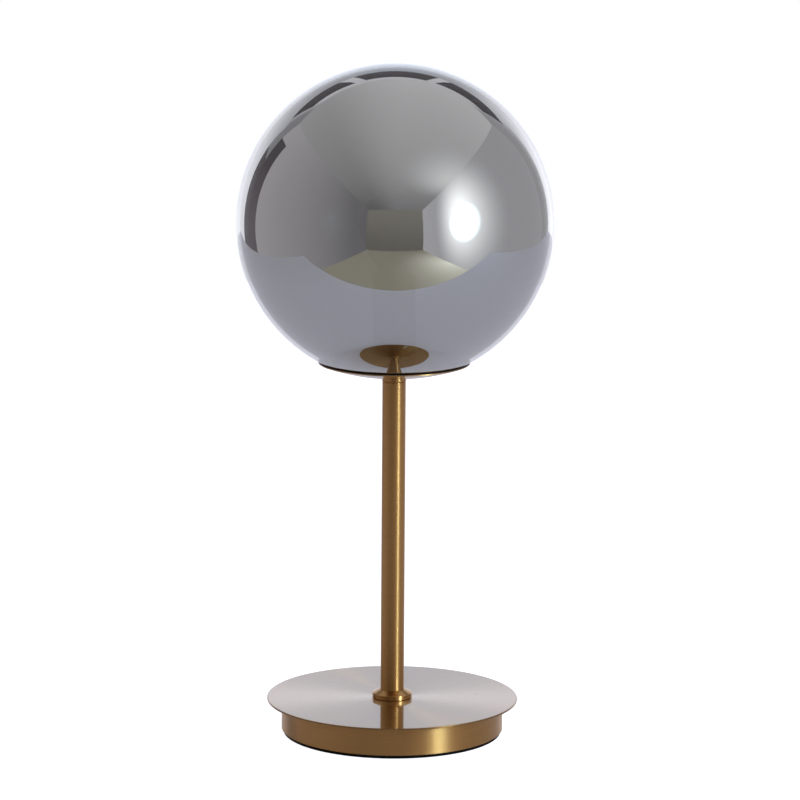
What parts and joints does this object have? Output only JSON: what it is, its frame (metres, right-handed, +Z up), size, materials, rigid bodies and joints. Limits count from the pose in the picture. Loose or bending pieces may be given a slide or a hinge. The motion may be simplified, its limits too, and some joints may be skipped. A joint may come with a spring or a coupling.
{
  "type": "table lamp",
  "caption": "Table lamp with a smoked mirror-glass globe on a shallow brass saucer, a slim brass stem and a brass disc base that overhangs its drum; a screw-in bulb sits inside.",
  "frame": {"origin": "centre of the base's underside, on the table", "axes": "+Z up along the stem, -Y to the front, the cord leaves at the back (+Y)"},
  "size_m": [0.2, 0.2, 0.429],
  "materials": {
    "satin_brass": "satin, lacquered",
    "holder_brass": "satin",
    "smoked_mirror_glass": "polished, half-mirror coat",
    "black_rubber": "matt",
    "black_foam": "matt",
    "cast_iron": "as cast",
    "zinc_steel": "zinc plated",
    "spring_steel": "tempered",
    "black_nylon": "moulded",
    "porcelain": "glazed",
    "nickel_brass": "nickel plated",
    "contact_bronze": "rolled sheet",
    "solder_tin": "solder",
    "black_glass": "gloss",
    "white_plastic": "moulded",
    "aluminium_board": "white mask",
    "opal_plastic": "opal"
  },
  "bodies": {
    "stand": {"base_pad": "black_foam", "base_weight": "cast_iron", "base_drum": "satin_brass", "base_plate": "satin_brass", "cord_bushing": "black_nylon", "lower_washer": "zinc_steel", "lock_washer": "zinc_steel", "lower_nut": "zinc_steel", "threaded_rod": "zinc_steel", "stem_collar": "satin_brass", "stem_tube": "satin_brass", "stem_ferrule": "satin_brass", "grub_screw": "satin_brass", "shade_dish": "satin_brass", "dish_gasket": "black_rubber", "dish_spacer": "zinc_steel", "clip_plate": "zinc_steel", "globe_clips": "spring_steel", "clip_rivets": "zinc_steel", "upper_nut": "zinc_steel", "holder_cap": "holder_brass", "holder_shell": "holder_brass", "holder_insert": "porcelain", "socket_liner": "nickel_brass", "centre_contact": "contact_bronze", "terminal_screws": "zinc_steel"},
    "globe": {"glass_globe": "smoked_mirror_glass"},
    "bulb_tip": {"bulb_contact": "solder_tin"},
    "bulb": {"bulb_insulator": "black_glass", "bulb_cap": "nickel_brass", "bulb_housing": "white_plastic", "led_board": "aluminium_board", "bulb_envelope": "opal_plastic"}
  },
  "joints": [
    {"name": "globe_lift", "type": "slide", "parent": "stand", "child": "globe", "axis": [0, 0, 1], "range_m": [0, 0.15]},
    {"name": "bulb_rise", "type": "slide", "parent": "stand", "child": "bulb_tip", "axis": [0, 0, 1], "range_m": [0, 0.0113]},
    {"name": "bulb_turn", "type": "hinge", "parent": "bulb_tip", "child": "bulb", "pos_m": [0, 0, 0.2725], "axis": [0, 0, 1], "range_deg": [0, 1440]}
  ],
  "couplings": [
    {"joint": "bulb_rise", "follows": "bulb_turn", "m_per_rad": 0.00044913}
  ]
}
